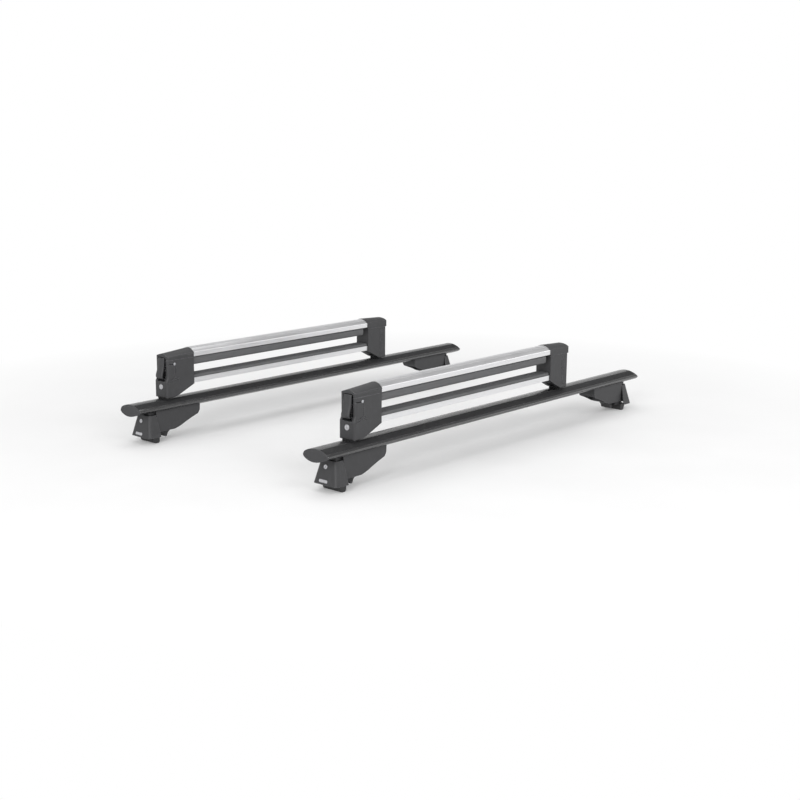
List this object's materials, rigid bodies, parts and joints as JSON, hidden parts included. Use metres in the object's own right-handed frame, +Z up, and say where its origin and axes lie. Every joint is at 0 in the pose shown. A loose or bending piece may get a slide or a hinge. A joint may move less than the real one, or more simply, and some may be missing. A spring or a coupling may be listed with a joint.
{
  "type": "roof ski rack",
  "caption": "Roof rack for skis: two aerofoil crossbars on clamping legs, each with a hinged clamshell carrier whose padded arms close on the skis and latch with a lockable push-button.",
  "frame": {"origin": "middle of the rack in plan, at the bottom of the four clamp jaws", "axes": "+X along the crossbars towards the carriers' hinges, +Y towards the front of the car, +Z up"},
  "size_m": [1.3574, 0.7834, 0.2458],
  "materials": {
    "bar_black": "satin black anodised",
    "housing_plastic": "fine spark-eroded texture",
    "anodised": "silver anodised, brushed along its length",
    "pad_rubber": "smooth extruded rubber",
    "steel": "zinc plated",
    "lock_metal": "satin nickel",
    "leg_plastic": "fine texture",
    "jaw_black": "black e-coat",
    "grip_rubber": "matt rubber",
    "slot_rubber": "satin rubber",
    "foot_rubber": "matt rubber"
  },
  "bodies": {
    "rack": {"rear_crossbar": "bar_black", "front_crossbar": "bar_black", "rear_latch_post": "housing_plastic", "rear_hinge_post": "housing_plastic", "rear_lower_arm": "anodised", "rear_lower_pad": "pad_rubber", "rear_button_spring": "steel", "front_latch_post": "housing_plastic", "front_hinge_post": "housing_plastic", "front_lower_arm": "anodised", "front_lower_pad": "pad_rubber", "front_button_spring": "steel", "rear_left_leg_body": "leg_plastic", "rear_right_leg_body": "leg_plastic", "front_left_leg_body": "leg_plastic", "front_right_leg_body": "leg_plastic", "bar_end_caps": "leg_plastic", "bar_grip_strips": "grip_rubber", "bar_slot_strips": "slot_rubber", "button_pins": "steel", "hinge_pins": "steel", "carrier_feet": "foot_rubber", "carrier_t_bolts": "steel", "carrier_t_nuts": "steel", "lower_arm_screws": "steel", "rail_pads": "grip_rubber", "leg_bolts": "steel"},
    "rear_upper_jaw": {"rear_upper_arm": "anodised", "rear_upper_pad": "pad_rubber", "rear_latch_cap": "housing_plastic", "rear_striker": "steel", "rear_hinge_cap": "housing_plastic"},
    "rear_button": {"rear_latch_button": "housing_plastic"},
    "rear_lock": {"rear_lock_barrel": "lock_metal"},
    "rear_left_cover": {"rear_left_leg_cover": "leg_plastic"},
    "rear_left_cover_lock": {"rear_left_leg_lock_barrel": "lock_metal"},
    "rear_left_jaw": {"rear_left_leg_clamp_jaw": "jaw_black"},
    "rear_left_clamp_bolt": {"rear_left_leg_clamp_bolt": "steel"},
    "rear_right_cover": {"rear_right_leg_cover": "leg_plastic"},
    "rear_right_cover_lock": {"rear_right_leg_lock_barrel": "lock_metal"},
    "rear_right_jaw": {"rear_right_leg_clamp_jaw": "jaw_black"},
    "rear_right_clamp_bolt": {"rear_right_leg_clamp_bolt": "steel"},
    "front_upper_jaw": {"front_upper_arm": "anodised", "front_upper_pad": "pad_rubber", "front_latch_cap": "housing_plastic", "front_striker": "steel", "front_hinge_cap": "housing_plastic"},
    "front_button": {"front_latch_button": "housing_plastic"},
    "front_lock": {"front_lock_barrel": "lock_metal"},
    "front_left_cover": {"front_left_leg_cover": "leg_plastic"},
    "front_left_cover_lock": {"front_left_leg_lock_barrel": "lock_metal"},
    "front_left_jaw": {"front_left_leg_clamp_jaw": "jaw_black"},
    "front_left_clamp_bolt": {"front_left_leg_clamp_bolt": "steel"},
    "front_right_cover": {"front_right_leg_cover": "leg_plastic"},
    "front_right_cover_lock": {"front_right_leg_lock_barrel": "lock_metal"},
    "front_right_jaw": {"front_right_leg_clamp_jaw": "jaw_black"},
    "front_right_clamp_bolt": {"front_right_leg_clamp_bolt": "steel"}
  },
  "joints": [
    {"name": "rear_jaw_hinge", "type": "hinge", "parent": "rack", "child": "rear_upper_jaw", "pos_m": [0.317, -0.35, 0.219], "axis": [0, 1, 0], "range_deg": [0, 80]},
    {"name": "rear_button_press", "type": "hinge", "parent": "rack", "child": "rear_button", "pos_m": [-0.5425, -0.35, 0.208], "axis": [0, -1, 0], "range_deg": [0, 10], "stiffness_Nm_per_rad": 0.6, "springref_deg": -6.88, "deforming": ["rear_button_spring"]},
    {"name": "rear_lock_turn", "type": "hinge", "parent": "rack", "child": "rear_lock", "pos_m": [-0.573, -0.3516, 0.146], "axis": [-1, 0, 0], "range_deg": [0, 90]},
    {"name": "rear_left_cover_pull", "type": "slide", "parent": "rack", "child": "rear_left_cover", "axis": [-1, 0, 0], "range_m": [0, 0.03]},
    {"name": "rear_left_cover_lock_turn", "type": "hinge", "parent": "rear_left_cover", "child": "rear_left_cover_lock", "pos_m": [-0.64025, -0.346, 0.061], "axis": [-0.9799, 0, 0.1993], "range_deg": [0, 90]},
    {"name": "rear_left_jaw_slide", "type": "slide", "parent": "rack", "child": "rear_left_jaw", "axis": [-1, 0, 0], "range_m": [0, 0.008]},
    {"name": "rear_left_bolt_turn", "type": "hinge", "parent": "rear_left_jaw", "child": "rear_left_clamp_bolt", "pos_m": [-0.626, -0.35, 0.043], "axis": [-1, 0, 0], "range_deg": [0, 2304]},
    {"name": "rear_right_cover_pull", "type": "slide", "parent": "rack", "child": "rear_right_cover", "axis": [1, 0, 0], "range_m": [0, 0.03]},
    {"name": "rear_right_cover_lock_turn", "type": "hinge", "parent": "rear_right_cover", "child": "rear_right_cover_lock", "pos_m": [0.64025, -0.346, 0.061], "axis": [0.9799, 0, 0.1993], "range_deg": [0, 90]},
    {"name": "rear_right_jaw_slide", "type": "slide", "parent": "rack", "child": "rear_right_jaw", "axis": [1, 0, 0], "range_m": [0, 0.008]},
    {"name": "rear_right_bolt_turn", "type": "hinge", "parent": "rear_right_jaw", "child": "rear_right_clamp_bolt", "pos_m": [0.626, -0.35, 0.043], "axis": [1, 0, 0], "range_deg": [0, 2304]},
    {"name": "front_jaw_hinge", "type": "hinge", "parent": "rack", "child": "front_upper_jaw", "pos_m": [0.317, 0.35, 0.219], "axis": [0, 1, 0], "range_deg": [0, 80]},
    {"name": "front_button_press", "type": "hinge", "parent": "rack", "child": "front_button", "pos_m": [-0.5425, 0.35, 0.208], "axis": [0, -1, 0], "range_deg": [0, 10], "stiffness_Nm_per_rad": 0.6, "springref_deg": -6.88, "deforming": ["front_button_spring"]},
    {"name": "front_lock_turn", "type": "hinge", "parent": "rack", "child": "front_lock", "pos_m": [-0.573, 0.3484, 0.146], "axis": [-1, 0, 0], "range_deg": [0, 90]},
    {"name": "front_left_cover_pull", "type": "slide", "parent": "rack", "child": "front_left_cover", "axis": [-1, 0, 0], "range_m": [0, 0.03]},
    {"name": "front_left_cover_lock_turn", "type": "hinge", "parent": "front_left_cover", "child": "front_left_cover_lock", "pos_m": [-0.64025, 0.354, 0.061], "axis": [-0.9799, 0, 0.1993], "range_deg": [0, 90]},
    {"name": "front_left_jaw_slide", "type": "slide", "parent": "rack", "child": "front_left_jaw", "axis": [-1, 0, 0], "range_m": [0, 0.008]},
    {"name": "front_left_bolt_turn", "type": "hinge", "parent": "front_left_jaw", "child": "front_left_clamp_bolt", "pos_m": [-0.626, 0.35, 0.043], "axis": [-1, 0, 0], "range_deg": [0, 2304]},
    {"name": "front_right_cover_pull", "type": "slide", "parent": "rack", "child": "front_right_cover", "axis": [1, 0, 0], "range_m": [0, 0.03]},
    {"name": "front_right_cover_lock_turn", "type": "hinge", "parent": "front_right_cover", "child": "front_right_cover_lock", "pos_m": [0.64025, 0.354, 0.061], "axis": [0.9799, 0, 0.1993], "range_deg": [0, 90]},
    {"name": "front_right_jaw_slide", "type": "slide", "parent": "rack", "child": "front_right_jaw", "axis": [1, 0, 0], "range_m": [0, 0.008]},
    {"name": "front_right_bolt_turn", "type": "hinge", "parent": "front_right_jaw", "child": "front_right_clamp_bolt", "pos_m": [0.626, 0.35, 0.043], "axis": [1, 0, 0], "range_deg": [0, 2304]}
  ],
  "couplings": [
    {"joint": "rear_left_bolt_turn", "follows": "rear_left_jaw_slide", "rad_per_m": 5026.5},
    {"joint": "rear_right_bolt_turn", "follows": "rear_right_jaw_slide", "rad_per_m": 5026.5},
    {"joint": "front_left_bolt_turn", "follows": "front_left_jaw_slide", "rad_per_m": 5026.5},
    {"joint": "front_right_bolt_turn", "follows": "front_right_jaw_slide", "rad_per_m": 5026.5}
  ]
}
